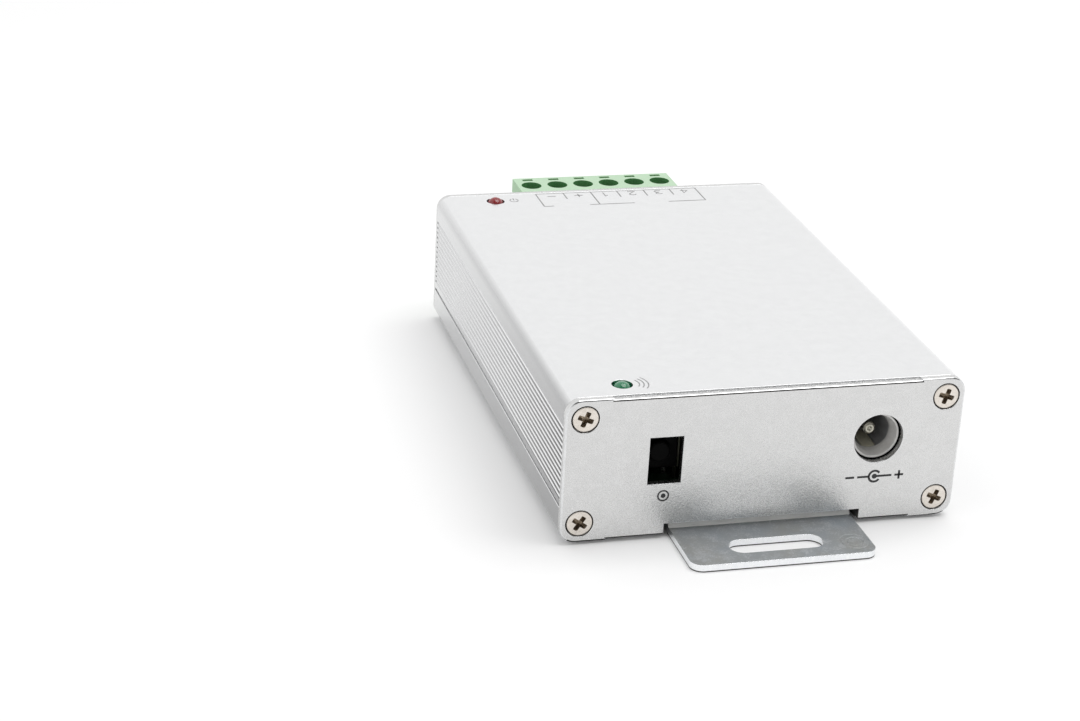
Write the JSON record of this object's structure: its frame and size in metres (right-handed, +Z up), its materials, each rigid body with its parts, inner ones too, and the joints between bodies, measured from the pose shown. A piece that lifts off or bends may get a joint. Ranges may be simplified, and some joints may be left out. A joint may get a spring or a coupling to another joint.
{
  "type": "led strip controller",
  "caption": "Slim aluminium case with ribbed sides, a power jack and mode opening in front, a row of screw terminals behind and slotted mounting ears.",
  "frame": {"origin": "centre of the bounding box's lowest face, on the surface that the mounting ears lie on", "axes": "+X to the right across the case and +Z up, seen from the power jack's end; +Y along the case from the power jack to the screw terminals"},
  "size_m": [0.065, 0.1166, 0.0251],
  "materials": {
    "anodised_aluminium": "satin, silver anodised",
    "zinc_plated_steel": "smooth, dull bright",
    "nickel_plated_steel": "satin, warm grey",
    "green_plastic": "matt, light green",
    "black_plastic": "matt black",
    "black_button": "smooth black",
    "tinned_brass": "bright tin",
    "bare_brass": "bright, slightly dull",
    "green_lens": "clear tinted",
    "red_lens": "clear tinted",
    "board_laminate": "green lacquer",
    "white_film": "thin white film",
    "capacitor_can": "bright",
    "capacitor_film": "dark blue film",
    "wire_cover": "red cover",
    "ceramic_tan": "matt tan"
  },
  "bodies": {
    "controller": {"case": "anodised_aluminium", "front_plate": "anodised_aluminium", "rear_plate": "anodised_aluminium", "front_plate_screws": "nickel_plated_steel", "rear_plate_screws": "nickel_plated_steel", "mounting_plate": "zinc_plated_steel", "mounting_plate_screws": "nickel_plated_steel", "circuit_board": "board_laminate", "insulating_sheet": "white_film", "jack_body": "black_plastic", "jack_barrel": "nickel_plated_steel", "jack_centre_pin": "tinned_brass", "jack_centre_contact": "tinned_brass", "jack_sleeve_contact": "bare_brass", "jack_side_contact": "tinned_brass", "switch_case": "black_plastic", "switch_base": "black_plastic", "switch_dome": "nickel_plated_steel", "switch_bracket": "zinc_plated_steel", "switch_contacts": "tinned_brass", "terminal_block": "green_plastic", "terminal_bars": "tinned_brass", "signal_light": "green_lens", "signal_light_leads": "tinned_brass", "power_light": "red_lens", "power_light_leads": "tinned_brass", "transistors": "black_plastic", "transistor_tabs": "tinned_brass", "transistor_leads": "tinned_brass", "control_chip": "black_plastic", "control_chip_leads": "tinned_brass", "regulator": "black_plastic", "regulator_leads": "tinned_brass", "capacitor": "capacitor_can", "capacitor_sleeve": "capacitor_film", "capacitor_leads": "tinned_brass", "receiver_board": "board_laminate", "receiver_pins": "tinned_brass", "resonator": "nickel_plated_steel", "aerial": "wire_cover", "diode": "black_plastic", "diode_leads": "tinned_brass", "chip_resistors": "black_plastic", "chip_capacitors": "ceramic_tan"},
    "button": {"mode_button": "black_button"},
    "screw_1": {"terminal_screw_1": "nickel_plated_steel"},
    "clamp_1": {"wire_clamp_1": "bare_brass"},
    "screw_2": {"terminal_screw_2": "nickel_plated_steel"},
    "clamp_2": {"wire_clamp_2": "bare_brass"},
    "screw_3": {"terminal_screw_3": "nickel_plated_steel"},
    "clamp_3": {"wire_clamp_3": "bare_brass"},
    "screw_4": {"terminal_screw_4": "nickel_plated_steel"},
    "clamp_4": {"wire_clamp_4": "bare_brass"},
    "screw_5": {"terminal_screw_5": "nickel_plated_steel"},
    "clamp_5": {"wire_clamp_5": "bare_brass"},
    "screw_6": {"terminal_screw_6": "nickel_plated_steel"},
    "clamp_6": {"wire_clamp_6": "bare_brass"}
  },
  "joints": [
    {"name": "mode_button_press", "type": "slide", "parent": "controller", "child": "button", "axis": [0, 1, 0], "range_m": [0, 0.0003], "stiffness_N_per_m": 6000},
    {"name": "screw_1_turn", "type": "hinge", "parent": "controller", "child": "screw_1", "pos_m": [-0.01245, 0.0539, 0.0198], "axis": [0, 0, -1], "range_deg": [0, 1657]},
    {"name": "clamp_1_lift", "type": "slide", "parent": "controller", "child": "clamp_1", "axis": [0, 0, 1], "range_m": [0, 0.0023]},
    {"name": "screw_2_turn", "type": "hinge", "parent": "controller", "child": "screw_2", "pos_m": [-0.00737, 0.0539, 0.0198], "axis": [0, 0, -1], "range_deg": [0, 1657]},
    {"name": "clamp_2_lift", "type": "slide", "parent": "controller", "child": "clamp_2", "axis": [0, 0, 1], "range_m": [0, 0.0023]},
    {"name": "screw_3_turn", "type": "hinge", "parent": "controller", "child": "screw_3", "pos_m": [-0.00229, 0.0539, 0.0198], "axis": [0, 0, -1], "range_deg": [0, 1657]},
    {"name": "clamp_3_lift", "type": "slide", "parent": "controller", "child": "clamp_3", "axis": [0, 0, 1], "range_m": [0, 0.0023]},
    {"name": "screw_4_turn", "type": "hinge", "parent": "controller", "child": "screw_4", "pos_m": [0.00279, 0.0539, 0.0198], "axis": [0, 0, -1], "range_deg": [0, 1657]},
    {"name": "clamp_4_lift", "type": "slide", "parent": "controller", "child": "clamp_4", "axis": [0, 0, 1], "range_m": [0, 0.0023]},
    {"name": "screw_5_turn", "type": "hinge", "parent": "controller", "child": "screw_5", "pos_m": [0.00787, 0.0539, 0.0198], "axis": [0, 0, -1], "range_deg": [0, 1657]},
    {"name": "clamp_5_lift", "type": "slide", "parent": "controller", "child": "clamp_5", "axis": [0, 0, 1], "range_m": [0, 0.0023]},
    {"name": "screw_6_turn", "type": "hinge", "parent": "controller", "child": "screw_6", "pos_m": [0.01295, 0.0539, 0.0198], "axis": [0, 0, -1], "range_deg": [0, 1657]},
    {"name": "clamp_6_lift", "type": "slide", "parent": "controller", "child": "clamp_6", "axis": [0, 0, 1], "range_m": [0, 0.0023]}
  ],
  "couplings": [
    {"joint": "screw_1_turn", "follows": "clamp_1_lift", "rad_per_m": 12566},
    {"joint": "screw_2_turn", "follows": "clamp_2_lift", "rad_per_m": 12566},
    {"joint": "screw_3_turn", "follows": "clamp_3_lift", "rad_per_m": 12566},
    {"joint": "screw_4_turn", "follows": "clamp_4_lift", "rad_per_m": 12566},
    {"joint": "screw_5_turn", "follows": "clamp_5_lift", "rad_per_m": 12566},
    {"joint": "screw_6_turn", "follows": "clamp_6_lift", "rad_per_m": 12566}
  ]
}
